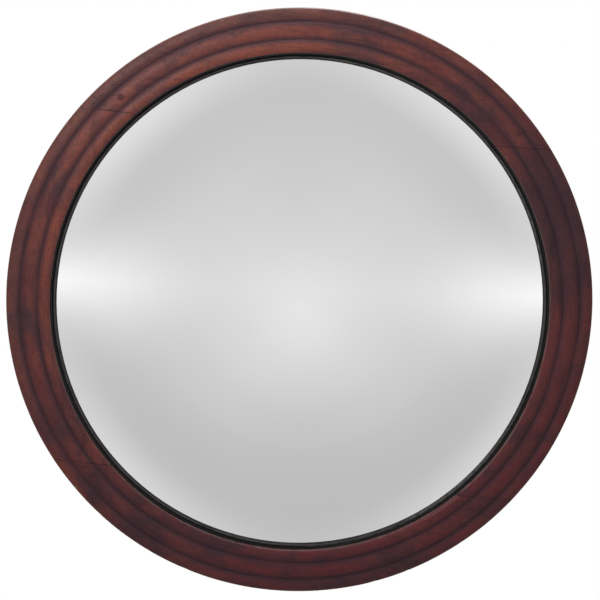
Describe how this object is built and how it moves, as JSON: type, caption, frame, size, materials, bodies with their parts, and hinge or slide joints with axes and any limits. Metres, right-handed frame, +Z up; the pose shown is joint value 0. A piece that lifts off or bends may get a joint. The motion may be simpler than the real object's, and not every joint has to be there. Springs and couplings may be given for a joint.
{
  "type": "round convex wall mirror",
  "caption": "Round convex mirror glass in a reeded, turned hardwood frame with an ebonised slip, a boarded back, turn buttons, strap hangers and wall pads.",
  "frame": {"origin": "on the wall plane, at the axis of the round glass; the wall pads' faces lie on this plane", "axes": "+Z up, the mirror faces -Y, +Y goes into the wall, +X is to the right seen from the front"},
  "size_m": [0.6, 0.0604, 0.6],
  "materials": {
    "stained_wood": "dark red-brown stained and waxed mahogany, worn",
    "peg_wood": "dark end grain, waxed",
    "ebonised_wood": "ebonised, satin",
    "mirror_glass": "silvered glass, polished",
    "pine": "aged unfinished pine",
    "brass": "dull aged brass",
    "plated_steel": "dull nickel plate",
    "pad_rubber": "matt black rubber"
  },
  "bodies": {
    "frame": {"top_rail": "stained_wood", "bottom_rail": "stained_wood", "left_stile": "stained_wood", "right_stile": "stained_wood", "corner_pegs": "peg_wood", "slip_ring": "ebonised_wood", "mirror_glass": "mirror_glass", "glazing_blocks": "pine", "backboard_left": "pine", "backboard_middle": "pine", "backboard_right": "pine", "turn_button_screws": "brass", "hanger_strap_left": "plated_steel", "hanger_strap_right": "plated_steel", "hanger_screws": "plated_steel", "wall_pad_left": "pad_rubber", "wall_pad_right": "pad_rubber", "pad_nails": "plated_steel"},
    "turn_button_1": {"turn_button_1": "brass"},
    "turn_button_2": {"turn_button_2": "brass"},
    "turn_button_3": {"turn_button_3": "brass"},
    "turn_button_4": {"turn_button_4": "brass"},
    "turn_button_5": {"turn_button_5": "brass"},
    "turn_button_6": {"turn_button_6": "brass"},
    "hanger_ring_left": {"hanger_ring_left": "plated_steel"},
    "hanger_ring_right": {"hanger_ring_right": "plated_steel"}
  },
  "joints": [
    {"name": "turn_button_1_pivot", "type": "hinge", "parent": "frame", "child": "turn_button_1", "pos_m": [0.19516, -0.0052, 0.19516], "axis": [0, 1, 0], "continuous": true},
    {"name": "turn_button_2_pivot", "type": "hinge", "parent": "frame", "child": "turn_button_2", "pos_m": [0, -0.0052, 0.276], "axis": [0, 1, 0], "continuous": true},
    {"name": "turn_button_3_pivot", "type": "hinge", "parent": "frame", "child": "turn_button_3", "pos_m": [-0.19516, -0.0052, 0.19516], "axis": [0, 1, 0], "continuous": true},
    {"name": "turn_button_4_pivot", "type": "hinge", "parent": "frame", "child": "turn_button_4", "pos_m": [-0.19516, -0.0052, -0.19516], "axis": [0, 1, 0], "continuous": true},
    {"name": "turn_button_5_pivot", "type": "hinge", "parent": "frame", "child": "turn_button_5", "pos_m": [0, -0.0052, -0.276], "axis": [0, 1, 0], "continuous": true},
    {"name": "turn_button_6_pivot", "type": "hinge", "parent": "frame", "child": "turn_button_6", "pos_m": [0.19516, -0.0052, -0.19516], "axis": [0, 1, 0], "continuous": true},
    {"name": "hanger_ring_left_hinge", "type": "hinge", "parent": "frame", "child": "hanger_ring_left", "pos_m": [-0.2576, -0.00382, 0.124], "axis": [1, 0, 0], "range_deg": [0, 178]},
    {"name": "hanger_ring_right_hinge", "type": "hinge", "parent": "frame", "child": "hanger_ring_right", "pos_m": [0.2576, -0.00382, 0.124], "axis": [1, 0, 0], "range_deg": [0, 178]}
  ]
}
